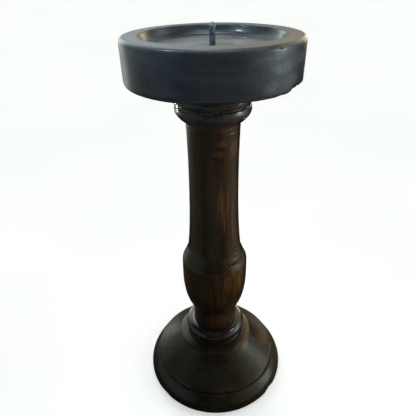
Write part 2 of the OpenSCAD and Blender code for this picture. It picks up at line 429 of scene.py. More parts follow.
def turning_lines(tree, place, scale, change=1.6):
    """Noise that runs round the axis, like the marks of a turning tool and of a brush. change is how fast
    it changes on the way round."""
    x, y, z = add(tree, "SeparateXYZ", {0: place}).outputs
    radial = maths(tree, "SQRT", plus(tree, times(tree, x, x), times(tree, y, y)))
    reach = highest(tree, radial, MM)
    vector = add(tree, "CombineXYZ", {
        0: times(tree, radial, scale),
        1: times(tree, z, scale),
        2: times(tree, maths(tree, "DIVIDE", x, reach), change),
    }).outputs[0]
    fourth = times(tree, maths(tree, "DIVIDE", y, reach), change)
    inputs = {"Vector": vector, "W": fourth, "Scale": 1.0, "Detail": 3.0}
    return add(tree, "TexNoise", inputs, noise_dimensions="4D").outputs["Fac"]


def hairlines(tree, place, scale, thickness, contour=0.45):
    """Fine scattered scratches: one contour line of a noise, shown only in patches."""
    winding = field(tree, place, scale, detail=1.0, roughness=0.4, distortion=0.6)
    distance = maths(tree, "ABSOLUTE", maths(tree, "SUBTRACT", winding, contour))
    patches = ranged(tree, field(tree, place, scale=120, detail=2, roughness=0.5), 0.5, 0.62)
    return times(tree, ranged(tree, distance, 0.0, thickness, 1.0, 0.0), patches)


def bump_by(tree, shader, height, strength, distance):
    """Bumps the shader's surface by the height, at most distance in metres."""
    relief = add(tree, "Bump", {"Strength": strength, "Distance": distance, "Height": height})
    tree.links.new(relief.outputs["Normal"], shader.inputs["Normal"])


# ---------------------------------------------------------------- materials

# What all the woods share: two colours, how dark the painted shade in a crease is and how strongly it is
# laid on, how rough a crease or a rubbed place is, and the share of its coat that a wood has where the coat
# is thinnest
MILKY = (0.16, 0.17, 0.175)
SCRATCHED = (0.12, 0.10, 0.08)
CREASE_SHADE = 0.25
CREASE_SHADE_SHARE = 0.6
CREASE_ROUGHER = 0.2
RUBBED_ROUGHER = 0.12
LEAST_COAT = 0.7


def wood_patterns(tree, grain, shift):
    """The patterns and the mesh's numbers that a wood's colour, gloss and relief share."""
    place = object_place(tree)
    fibres = stretched(tree, place, grain, shift)
    return SimpleNamespace(
        streaks=field(tree, fibres, scale=420, detail=5, roughness=0.6, distortion=0.3),
        broad=field(tree, fibres, scale=170, detail=3, roughness=0.5, distortion=0.5),
        clouds=field(tree, place, scale=30, detail=3, roughness=0.5, distortion=0.6),
        fine=field(tree, place, scale=1100, detail=3, roughness=0.6),
        brushed=turning_lines(tree, place, scale=130),
        turned=turning_lines(tree, place, scale=1100),
        hairs=hairlines(tree, place, scale=330, thickness=0.035),
        arris=attribute(tree, "arris"),
        crease=attribute(tree, "crease"),
        bare_and_sheen=attribute(tree, "bare_and_sheen"),
        thin_and_sheen=attribute(tree, "thin_and_sheen"),
    )


def stained(tree, p, dark, mid, thinned_and_sheen, uneven, bloom):
    """The stain's colour: streaked, thinly laid by chance and where the mesh says so (which at a few marks
    paints highlights and reflections), and milky in patches.
    """
    stain = blended(tree, ranged(tree, p.streaks, 0.36, 0.68), dark, mid)
    chance = times(tree, ranged(tree, p.broad, 0.5, 0.66), ranged(tree, p.clouds, 0.42, 0.6))
    meant = times(tree, p.thin_and_sheen, ranged(tree, p.streaks, 0.25, 0.6))
    stain = blended(tree, highest(tree, times(tree, chance, uneven), meant), stain, thinned_and_sheen)
    milky = times(tree, ranged(tree, p.brushed, 0.4, 0.66), ranged(tree, p.clouds, 0.35, 0.6))
    return blended(tree, times(tree, milky, bloom), stain, MILKY)


def rubbed_off_and_sheen(tree, p):
    """How far the finish is worn through: in patches along the edges, and where the mesh says that wood
    shows, which at a few marks is a painted highlight and reflection instead.
    """
    edge = times(tree, p.arris, ranged(tree, p.clouds, 0.5, 0.62))
    edge = times(tree, edge, ranged(tree, p.fine, 0.45, 0.6, 0.0, 0.5))
    patch = times(tree, p.bare_and_sheen, ranged(tree, p.streaks, 0.3, 0.55))
    return maths(tree, "MAXIMUM", edge, patch, clamp=True)


def lacquered_wood(name, grain, dark, mid, thinned_and_sheen, bare_and_sheen, tint, uneven, roughness, coat, bloom, scratches,
                   bump, shift=(0, 0, 0)):
    """Dark-stained, lacquered wood. grain is the scale along each axis, small along the fibres. dark and
    mid are the stain's colours, thinned_and_sheen is its colour where it lies thinly and where a few marks
    paint highlights and reflections, bare_and_sheen is raw wood and the colour of a few painted highlights
    and reflections, and tint colours the old finish's gloss. uneven is how much thinly laid stain there is
    by chance. roughness is its (lowest, highest), coat is how much lacquer lies on top, bloom how milky it
    is, and scratches and bump how strong those are."""
    material, tree, shader = new_material(name)
    p = wood_patterns(tree, grain, shift)
    worn_and_sheen = rubbed_off_and_sheen(tree, p)
    scratch = times(tree, p.hairs, scratches)

    colour = blended(tree, worn_and_sheen, stained(tree, p, dark, mid, thinned_and_sheen, uneven, bloom), bare_and_sheen)
    colour = blended(tree, scratch, colour, SCRATCHED)
    # Painted shade: corners, creases and narrow cuts are darkened towards a darker copy of the dark stain.
    shade = tuple(c * CREASE_SHADE for c in dark)
    colour = blended(tree, times(tree, p.crease, CREASE_SHADE_SHARE), colour, shade)
    tree.links.new(colour, shader.inputs["Base Color"])

    haze = plus(tree, times(tree, p.clouds, 0.6), times(tree, p.brushed, 0.4))
    rough = ranged(tree, haze, 0.38, 0.62, *roughness)
    rough = plus(tree, rough, times(tree, highest(tree, worn_and_sheen, p.arris), RUBBED_ROUGHER))
    rough = maths(tree, "ADD", rough, times(tree, p.crease, CREASE_ROUGHER), clamp=True)
    tree.links.new(rough, shader.inputs["Roughness"])
    uncovered = highest(tree, highest(tree, worn_and_sheen, p.crease), p.arris)
    covered = maths(tree, "SUBTRACT", 1.0, uncovered, clamp=True)
    film = times(tree, ranged(tree, p.clouds, 0.38, 0.6, LEAST_COAT * coat, coat), covered)
    tree.links.new(film, shader.inputs["Coat Weight"])
    shader.inputs["Coat Roughness"].default_value = 0.13
    shader.inputs["Coat IOR"].default_value = 1.42
    shader.inputs["IOR"].default_value = 1.4
    shader.inputs["Specular Tint"].default_value = (*tint, 1)

    height = plus(tree, times(tree, p.streaks, 0.3), times(tree, p.turned, 0.3))
    height = plus(tree, height, times(tree, p.fine, 0.12))
    bump_by(tree, shader, maths(tree, "SUBTRACT", height, scratch), bump, distance=0.0004)
    return material


def stained_steel(name):
    """Steel darkened by stain and old wax."""
    material, tree, shader = new_material(name)
    place = object_place(tree)
    film = field(tree, place, scale=420, detail=4, roughness=0.6)
    spots = field(tree, place, scale=1800, detail=2, roughness=0.5)
    blued, greyed, stain = (0.07, 0.09, 0.11), (0.17, 0.20, 0.23), (0.02, 0.016, 0.012)
    colour = blended(tree, ranged(tree, film, 0.4, 0.62), blued, greyed)
    colour = blended(tree, ranged(tree, spots, 0.6, 0.68, 0.0, 0.6), colour, stain)
    tree.links.new(colour, shader.inputs["Base Color"])
    tree.links.new(ranged(tree, film, 0.35, 0.65, 0.4, 0.55), shader.inputs["Roughness"])
    shader.inputs["Metallic"].default_value = 0.7
    bump_by(tree, shader, spots, 0.15, distance=0.0001)
    return material


def zinc_plate(name):
    """Bright zinc plate with faint clouding."""
    material, tree, shader = new_material(name)
    place = object_place(tree)
    clouds = field(tree, place, scale=700, detail=4, roughness=0.6)
    dull, bright = (0.5, 0.5, 0.47), (0.68, 0.69, 0.7)
    colour = blended(tree, ranged(tree, clouds, 0.35, 0.65), dull, bright)
    tree.links.new(colour, shader.inputs["Base Color"])
    tree.links.new(ranged(tree, clouds, 0.35, 0.65, 0.25, 0.42), shader.inputs["Roughness"])
    shader.inputs["Metallic"].default_value = 1.0
    bump_by(tree, shader, turning_lines(tree, place, scale=4000), 0.15, distance=0.0001)
    return material


def pressed_felt(name):
    """Dark green felt with tangled fibres."""
    material, tree, shader = new_material(name)
    place = object_place(tree)
    tangle = field(tree, place, scale=1500, detail=5, roughness=0.7, distortion=1.5)
    patches = field(tree, place, scale=60, detail=3, roughness=0.5)
    deep, raised, dusty = (0.012, 0.022, 0.015), (0.045, 0.075, 0.052), (0.06, 0.07, 0.055)
    colour = blended(tree, ranged(tree, tangle, 0.35, 0.65), deep, raised)
    colour = blended(tree, ranged(tree, patches, 0.4, 0.65, 0.0, 0.35), colour, dusty)
    tree.links.new(colour, shader.inputs["Base Color"])
    tree.links.new(ranged(tree, tangle, 0.3, 0.7, 0.85, 1.0), shader.inputs["Roughness"])
    shader.inputs["Sheen Weight"].default_value = 0.4
    shader.inputs["Sheen Roughness"].default_value = 0.5
    bump_by(tree, shader, tangle, 0.8, distance=0.0004)
    return material


def pale_floor(name):
    """Matt pale floor with a hardly visible cloudiness, lifted to an even brightness."""
    material, tree, shader = new_material(name)
    clouds = field(tree, object_place(tree), scale=3, detail=4, roughness=0.5)
    colour = blended(tree, ranged(tree, clouds, 0.3, 0.7), (0.74, 0.74, 0.73), (0.78, 0.78, 0.77))
    tree.links.new(colour, shader.inputs["Base Color"])
    tree.links.new(colour, shader.inputs["Emission Color"])
    shader.inputs["Emission Strength"].default_value = 0.75
    shader.inputs["Roughness"].default_value = 1.0
    shader.inputs["Specular IOR Level"].default_value = 0.0
    return material


# Grain: the patterns' scale along each axis, and the size of its relief in millimetres
ALONG_X = (0.08, 1, 1)
ALONG_Z = (1, 1, 0.08)
FIBRES_X = (16, 1.2, 1.2)
FIBRES_Z = (1.4, 1.4, 22)
WOODS = {
    "dish_wood": lacquered_wood(
        "dish_wood", ALONG_X, dark=(0.016, 0.018, 0.020), mid=(0.028, 0.028, 0.029),
        thinned_and_sheen=(0.095, 0.098, 0.100), bare_and_sheen=(0.20, 0.14, 0.09), tint=(0.88, 0.95, 1.0), uneven=0.12,
        roughness=(0.27, 0.42), coat=0.3, bloom=0.15, scratches=0.15, bump=0.14,
    ),
    "column_wood": lacquered_wood(
        "column_wood", ALONG_Z, dark=(0.012, 0.008, 0.002), mid=(0.027, 0.017, 0.005),
        thinned_and_sheen=(0.150, 0.050, 0.024), bare_and_sheen=(0.21, 0.087, 0.018), tint=(1.0, 0.73, 0.42), uneven=0.2,
        roughness=(0.27, 0.34), coat=0.1, bloom=0.02, scratches=0.1, bump=0.22, shift=(0.004, 0.002, 0.01),
    ),
    "capital_wood": lacquered_wood(
        "capital_wood", ALONG_Z, dark=(0.022, 0.019, 0.015), mid=(0.044, 0.033, 0.025),
        thinned_and_sheen=(0.090, 0.054, 0.036), bare_and_sheen=(0.20, 0.12, 0.06), tint=(0.98, 0.94, 0.88), uneven=0.4,
        roughness=(0.22, 0.34), coat=0.4, bloom=0.05, scratches=0.1, bump=0.12, shift=(0.02, 0.03, 0),
    ),
    "ring_wood": lacquered_wood(
        "ring_wood", ALONG_Z, dark=(0.012, 0.007, 0.004), mid=(0.030, 0.015, 0.008),
        thinned_and_sheen=(0.110, 0.042, 0.018), bare_and_sheen=(0.26, 0.12, 0.05), tint=(1.0, 0.93, 0.85), uneven=0.0,
        roughness=(0.18, 0.27), coat=0.8, bloom=0.02, scratches=0.1, bump=0.03, shift=(0.02, 0.03, 0),
    ),
    "base_wood": lacquered_wood(
        "base_wood", ALONG_X, dark=(0.010, 0.007, 0.003), mid=(0.020, 0.014, 0.006),
        thinned_and_sheen=(0.090, 0.038, 0.018), bare_and_sheen=(0.20, 0.10, 0.05), tint=(1.0, 0.82, 0.55), uneven=0.2,
        roughness=(0.27, 0.34), coat=0.25, bloom=0.03, scratches=0.25, bump=1.0, shift=(0.01, 0.04, 0.02),
    ),
}


# ---------------------------------------------------------------- pieces

def place_piece(piece, node, material):
    """The piece stands for its CAD node, rides on the one body and takes its slot's material."""
    piece.data.materials.append(material)
    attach(piece, "root")
    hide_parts(node)
    return piece


def candle_dish():
    """Dish with a coved well, a flat rim, a rolled outer edge and a straight side."""
    side_low = DISH_Z + 5.6
    seat_r = BEAD_R + 1.5
    shown = (
        [[SPIKE_R, FLOOR_Z], [FLOOR_R - 6, FLOOR_Z]]
        + curve([FLOOR_R, FLOOR_Z], [FLOOR_R + 1.6, FLOOR_Z],
                [WELL_R - 1.4, RIM_Z - 4.5], [WELL_R - 0.3, RIM_Z - 0.3])
        + [[WELL_R + 0.1, RIM_Z, 0.3], [WELL_R + 3.5, RIM_Z - 0.1], [DISH_R - 3.2, RIM_Z - 0.15]]
        + curve([DISH_R - 2.6, RIM_Z], [DISH_R - 1.1, RIM_Z - 0.1],
                [DISH_R - 0.1, RIM_Z - 0.9], [DISH_R, RIM_Z - 2.3])
        + [[DISH_R - 0.05, RIM_Z - 10], [DISH_R - 0.2, side_low + 3]]
        + curve([DISH_R - 0.2, side_low + 2.6], [DISH_R - 0.3, side_low + 1.2],
                [DISH_R - 1.3, side_low + 0.3], [DISH_R - 2.8, side_low])
        + [[seat_r, DISH_Z + 0.1, 0.4], [seat_r - 1, DISH_Z]]
    )
    hidden = [
        [TENON_R, DISH_Z], [TENON_R, TENON_TOP_Z], [HEAD_R, TENON_TOP_Z],
        [HEAD_R, TENON_TOP_Z + NAIL_HEAD_H], [SPIKE_R, TENON_TOP_Z + NAIL_HEAD_H],
    ]
    side_r = DISH_R - 0.1
    marks = [
        mark((38.9, DISH_R, RIM_Z - 1.6), (1.6, 0.6), depth=0.5, bare_and_sheen=0.3),
        mark((26, DISH_R - 0.6, RIM_Z - 0.9), (9, 0.7), depth=0.1, bare_and_sheen=0.35),
        mark((52, DISH_R - 0.6, RIM_Z - 0.9), (14, 0.9), depth=0.1, bare_and_sheen=0.5),
        mark((-34, DISH_R - 0.6, RIM_Z - 0.9), (10, 0.5), bare_and_sheen=0.15),
        mark((137.8, FLOOR_R - 7.2, FLOOR_Z), (2.4, 0.9), depth=0.9, turn=20),
        mark((62, side_r - 0.4, side_low + 1), (12.0, 4.0), depth=2.2),
        mark((43, side_r - 2, side_low), (3.5, 1.6), depth=1.0),
        mark((33, side_r - 3, side_low - 0.5), (4.0, 1.4), depth=0.5),
        mark((30, side_r, DISH_Z + 24), (10, 2.5), thin_and_sheen=0.5),
        mark((50, side_r, DISH_Z + 13), (9, 4.0), depth=0.06, thin_and_sheen=0.6),
        mark((42, side_r, DISH_Z + 20), (9, 3.5), depth=0.05, thin_and_sheen=0.7),
        mark((34, side_r, DISH_Z + 12), (6, 3.5), depth=0.05, thin_and_sheen=0.6),
        mark((60, side_r, DISH_Z + 22), (8, 3.0), thin_and_sheen=0.5),
        # Painted reflection: the whole well floor is lightened towards the dish's lighter stain colour, as a
        # grazing sheen would show.
        mark((180, FLOOR_R - 15.3, FLOOR_Z), (200, 17), thin_and_sheen=0.8),
    ]
    relief = turned_relief(rings=0.015, oval=0.1, grain=0.012, grain_size=FIBRES_X, wear=0.15, seed=3)
    piece = spin("turned_dish", shown, hidden, relief, marks, step=0.52, segments=400)
    return place_piece(piece, "candle_dish", WOODS["dish_wood"])


def capital_ring():
    """Ring under the dish: bead, uneven groove, ovolo."""
    groove_r = CAPITAL_R - 0.9
    shown = (
        [[BEAD_R - 3, DISH_Z], [BEAD_R - 1.0, DISH_Z, 0.3], [BEAD_R - 1.0, DISH_Z - 0.8, 0.3]]
        + curve([BEAD_R - 0.7, DISH_Z - 1.6], [BEAD_R + 0.1, DISH_Z - 2.2],
                [BEAD_R + 0.2, DISH_Z - 4.2], [BEAD_R - 0.6, CAPITAL_GROOVE_Z + 1.0])
        + [[groove_r, CAPITAL_GROOVE_Z, 0.5], [CAPITAL_R - 0.4, CAPITAL_GROOVE_Z - 1.2, 0.8]]
        + curve([CAPITAL_R, CAPITAL_Z + 7.4], [CAPITAL_R - 0.3, CAPITAL_Z + 4.4],
                [CAPITAL_R - 3.6, CAPITAL_Z + 1.6], [SHAFT_TOP_R + 1, CAPITAL_Z + 0.3])
        + [[SHAFT_TOP_R + 0.7, CAPITAL_Z, 0.15], [SHAFT_TOP_R - 0.6, CAPITAL_Z]]
    )
    hidden = [[TENON_R, CAPITAL_Z], [TENON_R, DISH_Z]]
    marks = [
        mark((60, CAPITAL_R - 1.2, CAPITAL_Z + 4.4), (3.6, 2.4), depth=2.0),
        mark((15, CAPITAL_R - 0.6, CAPITAL_Z + 7), (4.5, 2.6), bare_and_sheen=0.12, thin_and_sheen=0.5),
        mark((34, groove_r, CAPITAL_GROOVE_Z), (14, 0.9), depth=0.9),
        mark((28, BEAD_R, CAPITAL_GROOVE_Z + 3.4), (7, 0.5), depth=0.4, turn=-5),
        mark((-45, groove_r, CAPITAL_GROOVE_Z), (22, 1.5), depth=-0.9),
    ]
    relief = turned_relief(rings=0.02, oval=0.15, grain=0.015, wear=0.15, seed=31)
    piece = spin("turned_capital", shown, hidden, relief, marks, step=0.28, segments=400)
    return place_piece(piece, "capital_ring", WOODS["capital_wood"])


def column():
    """Pillar between the rings: fine line, waisted shaft, shoulder, V-groove, ridge, bulb and neck."""
    shoulder_z = RIDGE_Z + 10
    waist_z = RIDGE_Z + 70.35
    line_z = CAPITAL_Z - 3.9
    groove_r = RIDGE_R - 1.75
    ridge_out_r = RIDGE_R + 0.35
    before = [
        [0, TENON_TOP_Z], [TENON_R - 1, TENON_TOP_Z], [TENON_R, TENON_TOP_Z - 1], [TENON_R, CAPITAL_Z],
    ]
    shown = (
        [[SHAFT_TOP_R - 1, CAPITAL_Z], [SHAFT_TOP_R, CAPITAL_Z, 0.2], [SHAFT_TOP_R, line_z + 0.5, 0.3]]
        + [[SHAFT_TOP_R - 0.1, line_z, 0.3]]
        + curve([SHAFT_TOP_R - 0.1, line_z - 0.5], [SHAFT_TOP_R - 0.2, line_z - 4.1],
                [SHAFT_R, waist_z + 10], [SHAFT_R, waist_z + 1])
        + curve([SHAFT_R, waist_z], [SHAFT_R, RIDGE_Z + 48],
                [SHAFT_R + 0.8, shoulder_z + 14], [RIDGE_R - 4, shoulder_z + 0.8], 24)
        + curve([RIDGE_R - 3.8, shoulder_z], [RIDGE_R - 3.5, shoulder_z - 1.4],
                [RIDGE_R - 2.9, shoulder_z - 2.6], [RIDGE_R - 2.2, shoulder_z - 4.2])
        + [[RIDGE_R - 1.95, RIDGE_Z + 5, 0.5], [groove_r, RIDGE_Z + 4.4, 0.4]]
        + [[ridge_out_r, RIDGE_Z, 0.3], [BULB_R - 0.2, RIDGE_Z - 1.2, 0.3], [BULB_R - 0.1, RIDGE_Z - 5]]
        + curve([BULB_R, BULB_Z + 28], [BULB_R, BULB_Z + 14],
                [NECK_R + 4.4, BULB_Z + 4.6], [NECK_R + 1.4, BULB_Z + 0.4], 20)
        + [[NECK_R + 0.9, BULB_Z - 0.1, 0.3], [NECK_R, BULB_Z - 0.6, 0.3]]
        + curve([NECK_R - 0.05, BULB_Z - 1.2], [NECK_R - 0.3, COLUMN_Z + 12],
                [NECK_R - 0.3, COLUMN_Z + 5], [NECK_R, COLUMN_Z + 0.2])
        + [[NECK_R, COLUMN_Z], [NECK_R - 1, COLUMN_Z]]
    )
    hidden = [
        [TENON_R, COLUMN_Z], [TENON_R, TENON_BOTTOM_Z + 1], [TENON_R - 1, TENON_BOTTOM_Z],
        [SCREW_R, TENON_BOTTOM_Z], [SCREW_R, SCREW_TOP_Z + 1 - SCREW_POINT_H], [0, SCREW_TOP_Z + 1],
    ]
    marks = [
        mark((56, groove_r, RIDGE_Z + 4.4), (13, 0.8), depth=1.4),
        mark((58, groove_r + 0.8, RIDGE_Z + 2.8), (9, 0.7), depth=0.7, turn=4),
        mark((62, RIDGE_R - 1, RIDGE_Z + 2.2), (4, 0.8), depth=0.2, bare_and_sheen=0.25),
        mark((50, RIDGE_R - 3.4, shoulder_z - 0.5), (3, 1.8), depth=-0.25),
        mark((54, RIDGE_R - 0.4, RIDGE_Z + 1.6), (9, 0.7), depth=-0.15),
        mark((63.7, SHAFT_R, RIDGE_Z + 25.6), (0.9, 1.4), depth=0.15, bare_and_sheen=0.7),
        mark((16, SHAFT_R, CAPITAL_Z - 9.3), (4.2, 2.6), bare_and_sheen=0.15, thin_and_sheen=0.8),
        mark((12, SHAFT_R, CAPITAL_Z - 15.8), (4.6, 2.2), bare_and_sheen=0.15, thin_and_sheen=0.8, turn=8),
        # Painted highlight: a soft lighter patch at the right of the shaft's top.
        mark((50, SHAFT_R, CAPITAL_Z - 13.8), (4.0, 7), depth=0.06, bare_and_sheen=0.3, thin_and_sheen=0.5),
        mark((30, SHAFT_TOP_R, line_z), (9, 0.6), depth=0.2),
        mark((22, SHAFT_TOP_R, CAPITAL_Z - 1.8), (6, 1.2), bare_and_sheen=0.1, thin_and_sheen=0.5),
        mark((23, SHAFT_R, CAPITAL_Z - 25.8), (1.8, 3.5), thin_and_sheen=0.5),
        mark((9, SHAFT_R, RIDGE_Z + 48.7), (0.9, 17), thin_and_sheen=0.7, turn=2),
        mark((19, SHAFT_R, RIDGE_Z + 46.7), (2.2, 22), thin_and_sheen=0.9, turn=-2),
        mark((33, SHAFT_R, RIDGE_Z + 50.7), (1.8, 16), thin_and_sheen=0.7, turn=2),
        mark((48, SHAFT_R, RIDGE_Z + 38.7), (2.0, 22), thin_and_sheen=0.9, turn=-1),
        mark((60, SHAFT_R, RIDGE_Z + 60.7), (0.8, 12), thin_and_sheen=0.6),
        mark((24, SHAFT_R, RIDGE_Z + 34.7), (0.7, 8), bare_and_sheen=0.25, thin_and_sheen=0.8, turn=3),
        mark((-58, SHAFT_R, RIDGE_Z + 53.7), (5, 40), thin_and_sheen=0.25),
        mark((42, BULB_R, RIDGE_Z - 7.3), (9, 17), bare_and_sheen=0.4, turn=-4),
        mark((0, BULB_R - 1, RIDGE_Z - 17.3), (22, 16), bare_and_sheen=0.2),
        mark((22, BULB_R, RIDGE_Z - 9.3), (3, 12), thin_and_sheen=0.8, turn=-6),
        mark((46, BULB_R, RIDGE_Z - 9.3), (1.2, 8), bare_and_sheen=0.3, thin_and_sheen=1.0, turn=-8),
        mark((34, BULB_R, RIDGE_Z - 1.3), (0.8, 5), bare_and_sheen=0.25, thin_and_sheen=1.0, turn=-6),
        mark((12, BULB_R - 3, RIDGE_Z - 23.3), (4, 9), thin_and_sheen=0.4),
        mark((-60, BULB_R, RIDGE_Z - 13.3), (6, 16), bare_and_sheen=0.15, thin_and_sheen=0.3),
        mark((55.8, NECK_R, COLUMN_Z + 1.0), (1.2, 0.9), depth=0.5),
        mark((62, NECK_R, COLUMN_Z + 6), (1.6, 3.0), depth=0.2, bare_and_sheen=0.8),
        mark((10, NECK_R, COLUMN_Z + 9), (16, 8), thin_and_sheen=0.6),
    ]
    relief = turned_relief(rings=0.015, oval=0.12, grain=0.015, grain_size=FIBRES_Z, wear=0.1, seed=57)
    piece = spin("turned_column", shown, hidden, relief, marks, before, step=0.66, segments=280)
    return place_piece(piece, "column", WOODS["column_wood"])


def foot_ring():
    """Fat half-round ring at the foot of the neck."""
    section_r = (COLUMN_Z - FOOT_Z) / 2
    middle = [FOOT_R - section_r, FOOT_Z + section_r]
    shown = [[NECK_R - 1, COLUMN_Z]] + arc(middle, section_r, 90, -90, 40) + [[NECK_R - 1, FOOT_Z]]
    hidden = [[TENON_R, FOOT_Z], [TENON_R, COLUMN_Z]]
    low_z = FOOT_Z + 3.5
    marks = [
        mark((-36, FOOT_R - 0.4, low_z + 3), (1.2, 0.9), depth=0.2, bare_and_sheen=0.7),
        mark((-18, FOOT_R - 1.0, low_z + 0.8), (1.4, 0.9), depth=0.25, bare_and_sheen=0.7),
        mark((-1, FOOT_R - 1.4, low_z), (2.2, 0.8), depth=0.2, bare_and_sheen=0.6),
        mark((20, FOOT_R - 1.8, low_z - 0.6), (4.0, 0.9), depth=0.1, bare_and_sheen=0.4),
        mark((-50, FOOT_R - 0.8, low_z), (8, 2.5), thin_and_sheen=0.7),
        mark((5, FOOT_R - 1.6, low_z - 0.8), (14, 1.5), thin_and_sheen=0.7),
    ]
    relief = turned_relief(rings=0.02, oval=0.25, grain=0.01, wear=0.0, seed=83)
    piece = spin("turned_foot_ring", shown, hidden, relief, marks, step=0.3, segments=400)
    return place_piece(piece, "foot_ring", WOODS["ring_wood"])


def base():
    """Base: undercut seat, ledge, hollow cone, groove and bottom moulding."""
    seat_r = FOOT_R - 2.6
    shown = (
        [[seat_r - 1, FOOT_Z], [seat_r, FOOT_Z, 0.2], [seat_r + 0.6, FOOT_Z - 0.9, 0.2]]
        + [[seat_r + 1.6, FOOT_Z - 0.6, 0.3]]
        + [[LEDGE_R - 0.5, LEDGE_Z, 0.5], [LEDGE_R + 0.2, LEDGE_Z - 0.5, 0.4]]
        + curve([LEDGE_R + 0.6, LEDGE_Z - 1.0], [LEDGE_R + 5.6, CONE_Z + 12],
                [CONE_R - 7, CONE_Z + 6.4], [CONE_R - 0.4, CONE_Z + 0.8], 20)
        + [[CONE_R, CONE_Z, 0.25], [CONE_R - 1.6, GROOVE_Z + 0.5, 0.2], [CONE_R - 0.3, GROOVE_Z - 1.2, 0.3]]
        + [[CONE_R + 0.7, GROOVE_Z - 0.9, 0.6]]
        + curve([CONE_R + 1.4, GROOVE_Z - 1.9], [CONE_R + 3.3, GROOVE_Z - 4.4],
                [BASE_R - 0.8, BASE_Z + 8], [BASE_R - 0.1, BASE_Z + 4.6])
        + arc([BASE_R - 2.4, BASE_Z + 3], 2.4, 20, -75, 10)
        + [[BASE_R - 2.6, BASE_Z], [BASE_R - 5, BASE_Z]]
    )
    hidden = [
        [COUNTERBORE_R, BASE_Z], [COUNTERBORE_R, BASE_Z + COUNTERBORE_H], [SCREW_R, BASE_Z + COUNTERBORE_H],
        [SCREW_R, TENON_BOTTOM_Z], [TENON_R, TENON_BOTTOM_Z], [TENON_R, FOOT_Z],
    ]
    marks = [
        mark((88, CONE_R - 6.75, CONE_Z + 6.6), (13, 7), depth=0.05, bare_and_sheen=0.15, thin_and_sheen=1.0, turn=25),
        mark((80, CONE_R - 1.25, CONE_Z + 1.2), (8, 2.0), depth=0.1, bare_and_sheen=0.3, thin_and_sheen=0.8),
        mark((88, BASE_R - 3, GROOVE_Z - 5), (12, 3), thin_and_sheen=0.7),
        mark((53, BASE_R, BASE_Z + 2.5), (5.5, 2.6), depth=1.2),
        mark((-47, BASE_R, BASE_Z + 2.5), (6, 1.6), depth=0.3, thin_and_sheen=0.4),
        mark((26, CONE_R, CONE_Z), (1.8, 0.8), depth=0.6),
        # Partly worn stain and partly a painted warm reflection: the golden patch on the ledge's right.
        mark((66, LEDGE_R - 1, LEDGE_Z + 0.3), (17, 2.4), depth=0.08, bare_and_sheen=0.4, thin_and_sheen=0.9),
        mark((-10, CONE_R - 8.75, CONE_Z + 8.6), (3.5, 0.35), depth=0.08, bare_and_sheen=0.1, turn=60),
        mark((12, CONE_R - 4.75, CONE_Z + 3.6), (4.0, 0.3), depth=0.08, bare_and_sheen=0.2, turn=70),
        mark((0, BASE_R - 1, BASE_Z + 4), (60, 2.0), thin_and_sheen=0.3),
    ]
    relief = turned_relief(rings=0.015, oval=0.12, grain=0.01, grain_size=FIBRES_X, wear=0.12, seed=101)
    piece = spin("turned_base", shown, hidden, relief, marks, step=0.45, segments=440)
    return place_piece(piece, "base", WOODS["base_wood"])


def candle_spike():
    """Nail that holds the candle: trapped head, ringed shank, plain spike with a blunt tip."""
    tip_z = HEIGHTS["candle_spike"][1]
    tip_h = 2.6
    ring_count, ring_pitch, ring_depth = 4, 1.6, 0.3
    tip = [[x * SPIKE_R, tip_z - tip_h + y * tip_h] for x, y in arc([0, 0], 1, 90, 0, 10)]
    shown = tip + [[SPIKE_R, FLOOR_Z + 0.5], [SPIKE_R, FLOOR_Z]]
    shank = []
    for i in range(ring_count):
        low = FLOOR_Z - (i + 1) * ring_pitch
        shank += [[SPIKE_R - ring_depth, low + ring_pitch / 2], [SPIKE_R, low]]
    hidden = shank + [
        [SPIKE_R, TENON_TOP_Z + NAIL_HEAD_H], [HEAD_R, TENON_TOP_Z + NAIL_HEAD_H],
        [HEAD_R, TENON_TOP_Z], [0, TENON_TOP_Z],
    ]
    fibres = (0.8, 0.8, 3)
    relief = turned_relief(rings=0.005, oval=0.06, grain=0.005, grain_size=fibres, wear=0.0, seed=131)
    piece = spin("steel_spike", shown, hidden, relief, step=0.25, segments=64)
    return place_piece(piece, "candle_spike", stained_steel("spike_steel"))


def felt_pad():
    """Felt disc under the base, with a soft cut edge."""
    felt_r = RADII["felt_pad"]
    fuzz_h, fuzz_size, fuzz_drop = 0.08, 1.1, 0.1

    def fuzz(p):
        return fuzz_h * layered(p["where"] / fuzz_size, 3, 151) - fuzz_drop

    shown = [[0, BASE_Z], [felt_r, BASE_Z, 0.3], [felt_r, 0, 0.4], [COUNTERBORE_R, 0]]
    piece = spin("felt_disc", shown, [[0, 0]], fuzz, before=[[0, BASE_Z]], step=0.7, segments=360)
    return place_piece(piece, "felt_pad", pressed_felt("felt"))


candle_dish()
capital_ring()
column()
foot_ring()
base_piece = base()
candle_spike()
felt_piece = felt_pad()

zinc = zinc_plate("zinc_steel")
for name in ("column_screw", "screw_washer"):
    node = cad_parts[name]
    node.data.materials.clear()
    node.data.materials.append(zinc)


# ---------------------------------------------------------------- stage, lights, camera

def circle(radius, height, count):
    """Points on a level circle about the axis."""
    angles = np.radians(np.arange(count) * 360 / count)
    return [(radius * math.cos(a), radius * math.sin(a), height) for a in angles]


